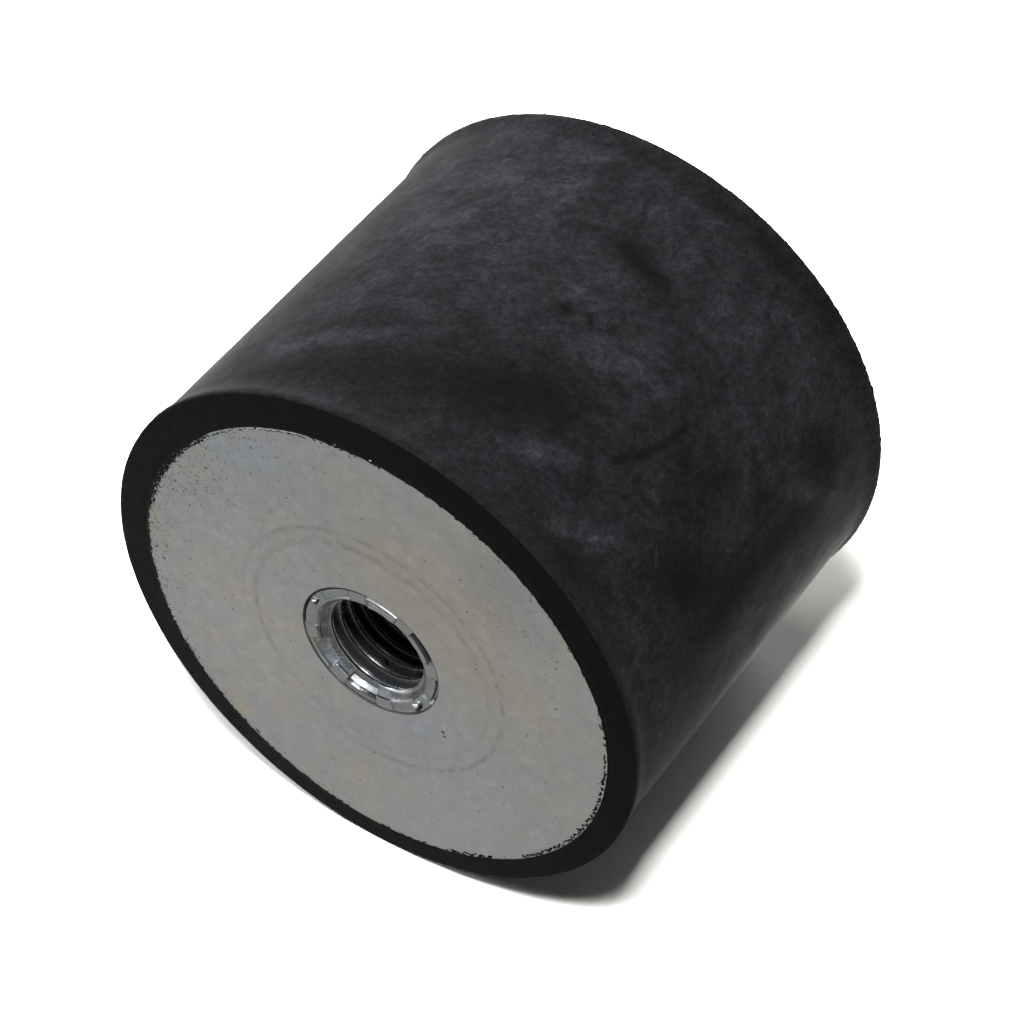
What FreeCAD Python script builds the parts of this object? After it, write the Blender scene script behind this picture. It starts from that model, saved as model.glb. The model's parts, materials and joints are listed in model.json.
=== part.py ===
"""Bobbin vibration mount, 75 mm across and 60 mm long, with an M16 female thread in each end.

A short rubber cylinder is moulded between two steel plates. It wraps round the edge of each plate
and flares out to a thin rim there. A blind threaded insert sits behind each plate, with its flange
against the plate's back, and its collar comes up through the plate's hole, where eight punch
strokes stake it fast. The mount stands on its bottom plate, with its axis along +Z.
"""
import FreeCAD, Part
import Sketcher
import math
import os

# Driving dimensions, in millimetres and degrees
SIZES = {
    "mount_length": (60.0, "over the two plate faces"),
    "rim_radius": (37.5, "rubber rim at either end"),
    "waist_depth": (0.5, "how far the side stands inside the rims"),
    "flare_height": (3.0, "length of the hollow sweep from the side out to a rim"),
    "rim_land": (0.8, "straight edge of a rim, past its flare"),
    "rim_corner": (0.4, "bevel of a rim's outer corner"),
    "rim_width": (3.95, "rubber round the plate's edge, across"),
    "rim_setback": (0.2, "how far a rim's face lies below the plate's face"),
    "plate_thickness": (3.0, "steel plate"),
    "plate_bevel": (0.35, "rolled edge that the blanking left on the plate's face"),
    "press_ring_radius": (17.9, "middle of the ring that the press left on the plate's face"),
    "press_ring_width": (2.0, "that ring, across"),
    "press_ring_depth": (0.1, "that ring, below the face"),
    "thread_radius": (8.0, "M16 thread, over its roots"),
    "thread_pitch": (2.0, "M16 thread"),
    "collar_wall": (1.75, "insert's collar in the plate's hole, outside the thread"),
    "collar_gap": (0.05, "play left round the collar after staking"),
    "collar_setback": (0.1, "how far the collar's face lies below the plate's face"),
    "flange_ledge": (4.25, "insert's flange behind the plate, outside its collar"),
    "flange_thickness": (2.5, "insert's flange"),
    "barrel_wall": (3.0, "insert's barrel in the rubber, outside the thread"),
    "barrel_floor": (2.0, "metal below the point of the bore"),
    "barrel_bevel": (0.8, "bevel round the barrel's closed end"),
    "bore_depth": (16.0, "straight bore, from the plate's face"),
    "bore_point": (2.5, "cone that the drill left under the bore"),
    "stake_count": (8, "punch strokes round the collar"),
    "stake_angle": (28.5, "width of one stroke, about the axis"),
    "stake_turn": (33.0, "where the first stroke lies, about the axis"),
    "stake_depth": (0.8, "depth of one stroke"),
    "stake_width": (1.0, "flat bottom of one stroke, in from the collar's edge"),
    "stake_slope": (0.4, "slanting inner side of one stroke"),
}

# Sizes that follow from the driving ones
DERIVED = {
    "half_length": "mount_length / 2",
    "body_radius": "rim_radius - waist_depth",
    "plate_radius": "rim_radius - rim_width",
    "collar_radius": "thread_radius + collar_wall",
    "flange_radius": "collar_radius + flange_ledge",
    "barrel_radius": "thread_radius + barrel_wall",
    "rim_face": "half_length - rim_setback",
    "flare_end": "rim_face - rim_land",
    "flare_start": "flare_end - flare_height",
    "flare_radius": "(flare_height ^ 2 + waist_depth ^ 2) / (2 * waist_depth)",
    "minor_radius": "thread_radius - 0.54127 * thread_pitch",
    "hole_radius": "collar_radius + collar_gap",
    "flange_back": "plate_thickness + flange_thickness",
    "mouth_depth": "collar_setback + thread_radius - minor_radius",
    "bore_end": "bore_depth + bore_point",
    "insert_length": "bore_end + barrel_floor",
    "bevel_radius": "barrel_radius - barrel_bevel",
    "bevel_depth": "insert_length - barrel_bevel",
    "seat_plate": "half_length - plate_thickness",
    "seat_flange": "half_length - flange_back",
    "seat_bevel": "half_length - bevel_depth",
    "seat_end": "half_length - insert_length",
    "ring_inside": "press_ring_radius - press_ring_width / 2",
    "ring_outside": "press_ring_radius + press_ring_width / 2",
    "stake_bottom": "collar_setback + stake_depth",
    "stake_foot": "collar_radius - stake_width",
    "stake_top": "stake_foot - stake_slope",
}

# A coordinate of this value puts a sketch point on the sketch's own axis
ZERO = "0"
SAME_SIZE = 1e-4

doc = FreeCAD.newDocument("BobbinMount")
sheet = doc.addObject("Spreadsheet::Sheet", "Sizes")


def fill_sheet():
    """One row for each size: its meaning, its number or formula, and its alias."""
    rows = [(alias, meaning, str(number)) for alias, (number, meaning) in SIZES.items()]
    rows += [(alias, "worked out", f"={formula}") for alias, formula in DERIVED.items()]
    for row, (alias, meaning, content) in enumerate(rows, start=1):
        sheet.set(f"A{row}", meaning)
        sheet.set(f"B{row}", content)
        sheet.setAlias(f"B{row}", alias)
    doc.recompute()


def size(alias):
    """A number from the sheet; a leading minus turns its sign."""
    if alias == ZERO:
        return 0.0
    if alias.startswith("-"):
        return -float(sheet.get(alias[1:]))
    return float(sheet.get(alias))


def bind(thing, path, alias, unit=""):
    """Ties one property to a cell of the sheet."""
    sign = "-" if alias.startswith("-") else ""
    thing.setExpression(path, f"{sign}Sizes.{alias.lstrip('-')}{unit}")


def new_body(name):
    body = doc.addObject("PartDesign::Body", name)
    body.Label = name
    return body


def axial_sketch(body, name):
    """A sketch in the plane through the axis: x is the radius, and y runs along the axis."""
    sketch = body.newObject("Sketcher::SketchObject", name)
    plane = next(item for item in body.Origin.OriginFeatures if item.Role == "XZ_Plane")
    sketch.AttachmentSupport = [(plane, "")]
    sketch.MapMode = "FlatFace"
    return sketch


def draw_outline(sketch, corners, bend=None, bend_radius=None):
    """A closed outline through (radius, height) corners. The edge that leaves corner number bend is
    a hollow arc, and all the others are straight. A sketch numbers an edge's two end points 1 and 2,
    and the arc's are swapped, because it is drawn the other way."""
    points = [FreeCAD.Vector(size(across), size(along), 0) for across, along in corners]
    ends = []
    for number, start in enumerate(points):
        stop = points[(number + 1) % len(points)]
        if number == bend:
            sketch.addGeometry(hollow_arc(start, stop, size(bend_radius)))
            ends.append((2, 1))
        else:
            sketch.addGeometry(Part.LineSegment(start, stop))
            ends.append((1, 2))
    for number, corner in enumerate(corners):
        before = (number - 1) % len(corners)
        sketch.addConstraint(
            Sketcher.Constraint("Coincident", before, ends[before][1], number, ends[number][0]))
        pin_point(sketch, number, ends[number][0], corner)
    if bend is not None:
        index = sketch.addConstraint(Sketcher.Constraint("Radius", bend, size(bend_radius)))
        bind(sketch, f"Constraints[{index}]", bend_radius)


def hollow_arc(start, stop, radius):
    """The arc of a flare, from the side at start up to the rim at stop; its middle lies outside."""
    centre = FreeCAD.Vector(start.x + radius, start.y, 0)
    circle = Part.Circle(centre, FreeCAD.Vector(0, 0, 1), radius)
    sweep = math.asin((stop.y - start.y) / radius)
    return Part.ArcOfCircle(circle, math.pi - sweep, math.pi)


def pin_point(sketch, edge, end, corner):
    """Ties one end of an edge to its two sizes, or to the sketch's upright axis (-2) or level one (-1)."""
    kinds = (("DistanceX", -2), ("DistanceY", -1))
    for alias, (kind, axis) in zip(corner, kinds):
        if alias == ZERO:
            sketch.addConstraint(Sketcher.Constraint("PointOnObject", edge, end, axis))
        else:
            index = sketch.addConstraint(Sketcher.Constraint(kind, -1, 1, edge, end, size(alias)))
            bind(sketch, f"Constraints[{index}]", alias)


def revolve(body, kind, name, sketch):
    """A Revolution or a Groove of a sketch, all the way round the axis."""
    feature = body.newObject(f"PartDesign::{kind}", name)
    feature.Profile = sketch
    feature.ReferenceAxis = (sketch, ["V_Axis"])
    feature.Angle = 360
    sketch.Visibility = False
    doc.recompute()
    return feature


def ring_edges(feature, radius, height):
    """Names of a feature's round edges of one radius, at one height on the axis."""
    names = []
    for number, edge in enumerate(feature.Shape.Edges, start=1):
        curve = edge.Curve
        if not isinstance(curve, Part.Circle) or abs(curve.Radius - radius) > SAME_SIZE:
            continue
        if abs(curve.Center.z - height) < SAME_SIZE:
            names.append(f"Edge{number}")
    return names


def bevel_ring(body, name, feature, bevel_alias, ring_radius, height):
    """A Chamfer on one ring edge of a turned shape."""
    chamfer = body.newObject("PartDesign::Chamfer", name)
    chamfer.Base = (feature, ring_edges(feature, ring_radius, height))
    bind(chamfer, "Size", bevel_alias)
    doc.recompute()
    return chamfer


def make_rubber():
    """The moulded rubber: one half turned about the axis, with the seats for a plate and an insert,
    and then mirrored. Its own origin is the middle of the mount."""
    body = new_body("rubber_body")
    section = axial_sketch(body, "rubber_section")
    draw_outline(section, [
        (ZERO, ZERO),
        ("body_radius", ZERO),
        ("body_radius", "flare_start"),
        ("rim_radius", "flare_end"),
        ("rim_radius", "rim_face"),
        ("plate_radius", "rim_face"),
        ("plate_radius", "seat_plate"),
        ("flange_radius", "seat_plate"),
        ("flange_radius", "seat_flange"),
        ("barrel_radius", "seat_flange"),
        ("barrel_radius", "seat_bevel"),
        ("bevel_radius", "seat_end"),
        (ZERO, "seat_end"),
    ], bend=2, bend_radius="flare_radius")
    half = revolve(body, "Revolution", "rubber_half", section)
    rim = bevel_ring(body, "rim_bevel", half, "rim_corner", size("rim_radius"), size("rim_face"))
    whole = body.newObject("PartDesign::Mirrored", "rubber_whole")
    whole.Originals = [half, rim]
    whole.MirrorPlane = (next(item for item in body.Origin.OriginFeatures if item.Role == "XY_Plane"), [""])
    body.Tip = whole
    bind(body, "Placement.Base.z", "half_length")
    return body


def make_plate(name):
    """A blanked steel plate: its face at its own origin, its thickness below, a hole for the collar
    and the shallow ring that the staking press left."""
    body = new_body(name)
    section = axial_sketch(body, f"{name}_section")
    draw_outline(section, [
        ("hole_radius", ZERO),
        ("hole_radius", "-plate_thickness"),
        ("plate_radius", "-plate_thickness"),
        ("plate_radius", ZERO),
    ])
    blank = revolve(body, "Revolution", f"{name}_blank", section)
    bevel_ring(body, f"{name}_edge", blank, "plate_bevel", size("plate_radius"), size(ZERO))
    ring = axial_sketch(body, f"{name}_ring_section")
    draw_outline(ring, [
        ("ring_inside", ZERO),
        ("ring_inside", "-press_ring_depth"),
        ("ring_outside", "-press_ring_depth"),
        ("ring_outside", ZERO),
    ])
    revolve(body, "Groove", f"{name}_ring", ring)
    return body


def make_insert(name):
    """A blind threaded insert: a collar that fills the plate's hole, a flange behind the plate, a
    barrel in the rubber, a bore at the thread's minor radius, and the stakes round the collar."""
    body = new_body(name)
    section = axial_sketch(body, f"{name}_section")
    draw_outline(section, [
        (ZERO, "-bore_end"),
        (ZERO, "-insert_length"),
        ("bevel_radius", "-insert_length"),
        ("barrel_radius", "-bevel_depth"),
        ("barrel_radius", "-flange_back"),
        ("flange_radius", "-flange_back"),
        ("flange_radius", "-plate_thickness"),
        ("collar_radius", "-plate_thickness"),
        ("collar_radius", "-collar_setback"),
        ("thread_radius", "-collar_setback"),
        ("minor_radius", "-mouth_depth"),
        ("minor_radius", "-bore_depth"),
    ])
    revolve(body, "Revolution", f"{name}_blank", section)
    stake_collar(body, name)
    return body


def stake_collar(body, name):
    """The punch strokes: each takes a slant-sided notch out of the collar's outer edge."""
    notch = axial_sketch(body, f"{name}_stake_section")
    notch.AttachmentOffset = FreeCAD.Placement(
        FreeCAD.Vector(0, 0, 0), FreeCAD.Rotation(FreeCAD.Vector(0, 1, 0), size("stake_turn")))
    bind(notch, "AttachmentOffset.Rotation.Angle", "stake_turn", " * 1 deg")
    draw_outline(notch, [
        ("stake_top", "-collar_setback"),
        ("stake_foot", "-stake_bottom"),
        ("collar_radius", "-stake_bottom"),
        ("collar_radius", "-collar_setback"),
    ])
    stroke = revolve(body, "Groove", f"{name}_stake", notch)
    stroke.Midplane = True
    bind(stroke, "Angle", "stake_angle", " * 1 deg")
    doc.recompute()
    ring = body.newObject("PartDesign::PolarPattern", f"{name}_stakes")
    ring.Originals = [stroke]
    ring.Axis = (notch, ["V_Axis"])
    ring.Angle = 360
    bind(ring, "Occurrences", "stake_count")
    body.Tip = ring


def face_up(body):
    """Sets a piece that was drawn below its own face at the top end."""
    bind(body, "Placement.Base.z", "mount_length")


def face_down(body):
    """Turns such a piece over, for the bottom end."""
    body.Placement = FreeCAD.Placement(
        FreeCAD.Vector(0, 0, 0), FreeCAD.Rotation(FreeCAD.Vector(1, 0, 0), 180))


def build_all():
    pieces = [make_rubber()]
    for end, place in (("top", face_up), ("bottom", face_down)):
        plate = make_plate(f"{end}_plate")
        insert = make_insert(f"{end}_insert")
        place(plate)
        place(insert)
        pieces += [plate, insert]
    doc.recompute()
    return pieces


def check_document(pieces):
    """Stops if anything failed, or if a feature that cuts took nothing away."""
    for item in doc.Objects:
        if "Invalid" in item.State or "Error" in item.State:
            raise RuntimeError(f"{item.Name} failed: {item.State}")
        if item.isDerivedFrom("PartDesign::Groove") and not cuts(item):
            raise RuntimeError(f"{item.Name} cuts nothing")
    for piece in pieces:
        if piece.Shape.isNull() or not piece.Shape.isValid() or len(piece.Shape.Solids) != 1:
            raise RuntimeError(f"{piece.Name} is not one valid solid")


def cuts(groove):
    return groove.Shape.Volume < groove.BaseFeature.Shape.Volume


def export(pieces):
    os.makedirs("parts", exist_ok=True)
    for piece in pieces:
        piece.Shape.exportStep(f"parts/{piece.Label}.step")
        box = piece.Shape.BoundBox
        print(f"{piece.Label}: {piece.Shape.Volume:.1f} mm3, z {box.ZMin:.2f} to {box.ZMax:.2f}, "
              f"width {box.XLength:.2f}")


fill_sheet()
mount_pieces = build_all()
check_document(mount_pieces)
export(mount_pieces)
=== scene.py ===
"""Bobbin vibration mount: the finish of its moulded rubber, zinc plated end plates and staked inserts."""
import json
import math
import random

import bmesh
import bpy
import numpy as np
from mathutils import Matrix, Vector, noise


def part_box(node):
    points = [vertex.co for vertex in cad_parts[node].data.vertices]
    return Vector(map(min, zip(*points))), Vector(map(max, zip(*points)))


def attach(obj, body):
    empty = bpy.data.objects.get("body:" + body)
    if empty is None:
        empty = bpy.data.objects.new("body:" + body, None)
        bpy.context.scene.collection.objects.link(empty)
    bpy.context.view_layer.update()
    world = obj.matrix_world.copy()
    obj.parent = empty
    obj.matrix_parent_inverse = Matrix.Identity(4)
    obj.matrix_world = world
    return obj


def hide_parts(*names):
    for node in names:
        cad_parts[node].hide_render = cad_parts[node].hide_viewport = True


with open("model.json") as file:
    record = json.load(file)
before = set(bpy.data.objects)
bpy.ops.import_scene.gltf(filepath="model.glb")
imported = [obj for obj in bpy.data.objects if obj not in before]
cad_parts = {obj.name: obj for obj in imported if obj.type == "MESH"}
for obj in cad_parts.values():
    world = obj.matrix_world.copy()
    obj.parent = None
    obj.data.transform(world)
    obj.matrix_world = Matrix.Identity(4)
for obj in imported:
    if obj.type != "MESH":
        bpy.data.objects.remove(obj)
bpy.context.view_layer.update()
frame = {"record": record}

bl_info = {
    "name": "Bobbin Mount",
    "version": (1, 0, 0),
    "blender": (4, 5, 0),
    "location": "3D View > Sidebar > Bobbin Mount",
    "description": "Dresses a bobbin vibration mount: rubber, end plates, threaded inserts and stage",
    "category": "Add Mesh",
}

MM = 0.001
ENDS = ("top", "bottom")
SEEDS = {"top": 11, "bottom": 47}
RUBBER_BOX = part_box("rubber_body")
PLATE_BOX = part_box("top_plate")
INSERT_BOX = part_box("top_insert")
MOUNT_LENGTH = PLATE_BOX[1].z
MIDDLE = MOUNT_LENGTH / 2
THREAD_MOUNT = next(item for item in frame["record"]["mounts"] if item["name"] == "top_thread")
MINOR_RADIUS = THREAD_MOUNT["dims"]["r_mm"] * MM
# The photograph's angles, counted on the seen face, lie this many degrees from the frame's
PHOTO_TURN = 180.0
HALF_TURN = 180.0
FULL_CIRCLE = 2 * math.pi


# Settings

def a_length(name, description, default):
    return bpy.props.FloatProperty(name=name, description=description, default=default, unit="LENGTH")


def a_place(name, description, *millimetres):
    return bpy.props.FloatVectorProperty(
        name=name, description=description, default=[value * MM for value in millimetres], unit="LENGTH")


def an_angle(name, description, degrees):
    return bpy.props.FloatProperty(
        name=name, description=description, default=math.radians(degrees), unit="ROTATION")


def a_number(name, description, default, unit="NONE"):
    return bpy.props.FloatProperty(name=name, description=description, default=default, unit=unit)


def a_colour(name, description, *rgb):
    return bpy.props.FloatVectorProperty(
        name=name, description=description, subtype="COLOR", size=4, default=(*rgb, 1))


class RubberSettings(bpy.types.PropertyGroup):
    """Sizes and colours of the moulded rubber."""
    rim_radius: a_length("Rim radius", "Radius over the rubber rims", RUBBER_BOX[1].x)
    waist_depth: a_length("Waist depth", "How far the side stands inside the rims", 0.5 * MM)
    flare_height: a_length("Flare height", "Hollow sweep from the side out to a rim", 3.0 * MM)
    rim_land: a_length("Rim land", "Straight edge of a rim past its flare", 0.8 * MM)
    rim_corner: a_length("Rim corner", "Rounding of a rim's outer corner", 0.20 * MM)
    rim_setback: a_length("Rim setback", "How far a rim lies below the plate's face", 0.2 * MM)
    mould_shift: a_place("Mould shift", "How far the moulding lies off the plates' axis", 0.24, -0.72, 0.0)
    relief: a_length("Relief", "Height of the slow waves in the moulded side", 0.05 * MM)
    black: a_colour("Black", "Bare rubber", 0.0062, 0.0062, 0.0064)
    # The bloom colour, laid on by the bloom mask, which is wax bloom and also painted light
    bloom: a_colour("Bloom", "Wax bloom on the rubber", 0.0590, 0.0640, 0.0735)
    warm_bloom: a_colour("Warm bloom", "Bloom where it is thin", 0.0585, 0.0592, 0.0665)
    dust: a_colour("Dust", "Dust and scuffed edges", 0.11, 0.11, 0.108)
    # Colours of the painted sheen, laid on where the rubber is seen edge-on and where it faces the floor
    sheen: a_colour("Graze", "Dusty skin as seen along the surface", 0.165, 0.170, 0.172)
    dusty: a_colour("Dusty", "The same where dust has settled", 0.88, 0.89, 0.87)


class PlateSettings(bpy.types.PropertyGroup):
    """Sizes and colours of the end plates."""
    radius: a_length("Radius", "Radius of a plate", PLATE_BOX[1].x)
    thickness: a_length("Thickness", "Thickness of a plate", PLATE_BOX[1].z - PLATE_BOX[0].z)
    hole_radius: a_length("Hole radius", "Hole for the insert's collar", 9.8 * MM)
    edge_round: a_length("Edge rounding", "Rolled edge of the face", 0.35 * MM)
    ring_radius: a_length("Ring radius", "Middle of the ring left by the press", 17.9 * MM)
    ring_width: a_length("Ring width", "Width of that ring", 2.0 * MM)
    ring_depth: a_length("Ring depth", "Depth of that ring", 0.1 * MM)
    zinc: a_colour("Zinc", "Dull zinc plating", 0.538, 0.535, 0.530)
    blue_tint: a_colour("Blue tint", "Pale blue of the passivation", 0.500, 0.533, 0.572)
    straw_tint: a_colour("Straw tint", "Straw yellow of the passivation", 0.565, 0.550, 0.480)
    pink_tint: a_colour("Pink tint", "Faint pink of the passivation", 0.546, 0.537, 0.572)


class InsertSettings(bpy.types.PropertyGroup):
    """Sizes and colours of the threaded inserts."""
    thread_radius: a_length("Thread radius", "Thread over its roots", 8.0 * MM)
    pitch: a_length("Pitch", "Thread pitch", 2.0 * MM)
    thread_turn: an_angle("Thread turn", "Where the thread starts, about the axis", -70.2)
    collar_radius: a_length("Collar radius", "Collar in the plate's hole", 9.75 * MM)
    collar_setback: a_length("Collar setback", "Collar's face below the plate's face", 0.1 * MM)
    barrel_radius: a_length("Barrel radius", "Barrel in the rubber", 11.0 * MM)
    barrel_bevel: a_length("Barrel bevel", "Bevel of the closed end", 0.8 * MM)
    flange_thickness: a_length("Flange thickness", "Flange behind the plate", 2.5 * MM)
    bore_depth: a_length("Bore depth", "Straight bore from the plate's face", 16.0 * MM)
    bore_point: a_length("Bore point", "Drill's cone under the bore", 2.5 * MM)
    stake_turn: an_angle("Stake turn", "Where the first stroke lies", 33)
    stake_angle: an_angle("Stake angle", "Width of one stroke", 28.5)
    zinc: a_colour("Zinc", "Bright zinc plating", 0.47, 0.485, 0.50)
    # The grime colour also paints shade: darker in the thread's grooves, the bore, the strokes' walls and
    # round the collar
    grime: a_colour("Grime", "Oil and dirt in the recesses", 0.020, 0.020, 0.023)


class StageSettings(bpy.types.PropertyGroup):
    """The camera, the lamps and the pale floor under the mount."""
    eye: a_place("Eye", "The camera's place from the moulding's axis", -147.50, -281.55, 257.78)
    lens: a_number("Lens", "Focal length in millimetres on a 36 mm sensor", 109.54)
    clearance: a_length("Clearance", "Gap between the mount and the floor", 0.2 * MM)
    reach: a_length("Reach", "Half the width of the floor", 1.6)
    pale: a_colour("Pale", "The floor", 0.72, 0.71, 0.685)
    camera_gain: a_number("Camera gain", "How much paler the lens sees the floor", 4.3)
    mirror_gain: a_number("Mirror gain", "How much paler metal reflects the floor", 0.55)
    key_watts: a_number("Key", "Strength of the key lamp", 10.9, "POWER")
    fill_watts: a_number("Fill", "Strength of the fill lamp", 6.5, "POWER")
    back_watts: a_number("Back", "Strength of the lamp behind the far end", 1.4, "POWER")
    sky: a_number("Sky", "Strength of the even light from all round", 0.008)
    mirror_sky: a_number("Mirrored sky", "Strength of that light as metal reflects it", 0.9)


# Shader helpers

class Signal:
    """What a shader node gives out. Each step of arithmetic with it is one more node."""

    def __init__(self, socket):
        self.socket = socket
        self.tree = socket.id_data

    def __add__(self, other):
        return calc("ADD", self, other)

    def __sub__(self, other):
        return calc("SUBTRACT", self, other)

    def __mul__(self, other):
        return calc("MULTIPLY", self, other)

    def __truediv__(self, other):
        return calc("DIVIDE", self, other)

    def __rtruediv__(self, other):
        return calc("DIVIDE", other, self)

    def clamp(self):
        """Keeps the last step between 0 and 1."""
        self.socket.node.use_clamp = True
        return self

    def remap(self, low, high, new_low=0.0, new_high=1.0):
        """Stretches the range low to high over the new range, and clamps it."""
        made = add_node(self.tree, "MapRange")
        for socket, value in zip(made.inputs, (self, low, high, new_low, new_high)):
            give(socket, value)
        return Signal(made.outputs[0])

    def scaled(self, factor):
        return vector_calc("SCALE", self, factor)

    def turned(self, turn):
        """A position turned by angles in radians."""
        made = add_node(self.tree, "VectorRotate", {"rotation_type": "EULER_XYZ"}, Vector=self, Rotation=turn)
        return Signal(made.outputs[0])

    def cloud(self, size, detail=4.0, roughness=0.55, distortion=0.0, output=0):
        """Noise at a position, with lumps about size millimetres across."""
        made = add_node(self.tree, "TexNoise", Vector=self.scaled(1.0 / size), Scale=1.0, Detail=detail,
                        Roughness=roughness, Distortion=distortion)
        return Signal(made.outputs[output])

    def painted(self, factor, colour):
        """This colour, with another laid over it by the factor."""
        return mix_colour(factor, self, colour)

    def toned(self, tone):
        """This colour, darker or lighter by the tone."""
        return mix_colour(1.0, self, tone, "MULTIPLY")


def tree_of(*values):
    """The node tree that the first signal among some values lives in."""
    return next(value.tree for value in values if isinstance(value, Signal))


def give(socket, value):
    """Links a signal to a socket, or sets any other value on it."""
    if isinstance(value, Signal):
        value.tree.links.new(value.socket, socket)
    else:
        socket.default_value = value


def add_node(tree, kind, settings=None, **inputs):
    """A shader node. An underscore in an input's name stands for a space."""
    made = tree.nodes.new("ShaderNode" + kind)
    made.location = (len(tree.nodes) * 190, 0)
    for name, value in (settings or {}).items():
        setattr(made, name, value)
    for name, value in inputs.items():
        give(made.inputs[name.replace("_", " ")], value)
    return made


def calc(operation, first, second):
    """One step of arithmetic."""
    made = add_node(tree_of(first, second), "Math", {"operation": operation})
    give(made.inputs[0], first)
    give(made.inputs[1], second)
    return Signal(made.outputs[0])


def larger(first, second):
    return calc("MAXIMUM", first, second)


def vector_calc(operation, first, second, output=0):
    made = add_node(tree_of(first, second), "VectorMath", {"operation": operation})
    give(made.inputs[0], first)
    give(made.inputs["Scale" if operation == "SCALE" else 1], second)
    return Signal(made.outputs[output])


def mix_colour(factor, first, second, kind="MIX"):
    made = add_node(tree_of(factor, first, second), "Mix", {"data_type": "RGBA", "blend_type": kind})
    for number, value in ((0, factor), (6, first), (7, second)):
        give(made.inputs[number], value)
    return Signal(made.outputs[2])


def start_group(name, output, kind, **inputs):
    """A shader node group: its inputs, as signals, and the socket of its one output. An input's value is its
    default, or a kind of socket without one."""
    tree = bpy.data.node_groups.new(name, "ShaderNodeTree")
    for label, value in inputs.items():
        sort = value if isinstance(value, str) else "Float"
        socket = tree.interface.new_socket(
            name=label.replace("_", " "), in_out="INPUT", socket_type="NodeSocket" + sort)
        if value != sort:
            socket.default_value = value
    tree.interface.new_socket(name=output, in_out="OUTPUT", socket_type="NodeSocket" + kind)
    given = tree.nodes.new("NodeGroupInput").outputs[:len(inputs)]
    return [Signal(socket) for socket in given], tree.nodes.new("NodeGroupOutput").inputs[output]


def effect(name, **inputs):
    """Places one of the shared effects in a material."""
    tree = inputs["Position"].tree
    return Signal(add_node(tree, "Group", {"node_tree": bpy.data.node_groups[name]}, **inputs).outputs[0])


def flecks(place, spacing, slenderness, radius, share, *turn):
    """The Flecks effect, turned by angles in degrees about X, Y and Z."""
    return effect("Flecks", Position=place, Turn=[math.radians(angle) for angle in turn or (0, 0, 0)],
                  Spacing=spacing, Slenderness=slenderness, Radius=radius, Share=share)


class Surface:
    """A material with its surface shader, and positions in millimetres."""

    def __init__(self, name):
        self.material = bpy.data.materials.new(name)
        self.material.use_nodes = True
        self.tree = self.material.node_tree
        self.sockets = self.tree.nodes["Principled BSDF"].inputs
        self.place = Signal(add_node(self.tree, "TexCoord").outputs["Object"]).scaled(1 / MM)

    def mask(self, name):
        """A value that the piece's mesh carries at each of its points."""
        found = add_node(self.tree, "Attribute", {"attribute_type": "GEOMETRY", "attribute_name": name})
        return Signal(found.outputs["Fac"])

    def grain(self, strength, distance, fine, coarse, share):
        """A bump of two grains, with sizes in millimetres."""
        height = effect("Grain", Position=self.place, Fine_Size=fine, Coarse_Size=coarse, Coarse_Share=share)
        bump = add_node(self.tree, "Bump", Strength=strength, Distance=distance * MM, Height=height)
        give(self.sockets["Normal"], Signal(bump.outputs[0]))


# Shared effects

def build_mottling_group():
    """Cloudy patches, as of bloom or stain, between 0 and 1."""
    (place, size, contrast, level), out = start_group(
        "Mottling", "Mask", "Float", Position="Vector", Patch_Size=6.0, Contrast=2.0, Level=0.5)
    broad = place.cloud(size, detail=3.0, distortion=0.6)
    fine = place.cloud(size / 4.5, detail=6.0, roughness=0.65)
    give(out, ((broad * 0.55 + fine * 0.45 - 0.5) * contrast + level).clamp())


def build_flecks_group():
    """Short strokes or round specks, scattered, each in its own cell. Share is the part of the cells used."""
    (place, turn, spacing, slenderness, radius, share), out = start_group(
        "Flecks", "Mask", "Float", Position="Vector", Turn="Vector", Spacing=1.0, Slenderness=1.0, Radius=0.2,
        Share=0.3)
    squeeze = Signal(add_node(place.tree, "CombineXYZ", X=1.0 / slenderness, Y=1.0, Z=1.0).outputs[0])
    narrowed = vector_calc("MULTIPLY", place.turned(turn), squeeze)
    cells = add_node(place.tree, "TexVoronoi", Vector=narrowed.scaled(1.0 / spacing), Scale=1.0).outputs
    chance = add_node(place.tree, "SeparateColor", Color=Signal(cells["Color"])).outputs
    inside = (Signal(cells["Distance"]) / (radius * (Signal(chance[1]) + 0.35))).remap(1.0, 0.55)
    give(out, inside * calc("LESS_THAN", Signal(chance[0]), share))


def build_passivation_group():
    """The faint clouds of colour on passivated zinc."""
    (place, size, base, *tints), out = start_group(
        "Passivation", "Color", "Color", Position="Vector", Patch_Size=9.0, Base="Color", Blue="Color",
        Straw="Color", Pink="Color")
    blue, straw, pink = tints
    colour = base
    for tint, shift, distortion, low, high in ((straw, (31.0, 17.0, 5.0), 0.5, 0.46, 0.68),
                                               (pink, (-23.0, 41.0, 9.0), 0.5, 0.50, 0.72),
                                               (blue, (0.0, 0.0, 0.0), 0.8, 0.50, 0.70)):
        patches = vector_calc("ADD", place, shift).cloud(size, 3.0, distortion=distortion)
        colour = colour.painted(patches.remap(low, high), tint)
    give(out, colour)


def build_grain_group():
    """Height of a fine and a coarse grain together."""
    (place, fine_size, coarse_size, share), out = start_group(
        "Grain", "Height", "Float", Position="Vector", Fine_Size=0.2, Coarse_Size=2.0, Coarse_Share=0.5)
    made = add_node(place.tree, "Mix")
    for number, value in ((0, share), (2, place.cloud(fine_size, 3.0)), (3, place.cloud(coarse_size, 3.0))):
        give(made.inputs[number], value)
    give(out, Signal(made.outputs[0]))


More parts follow.
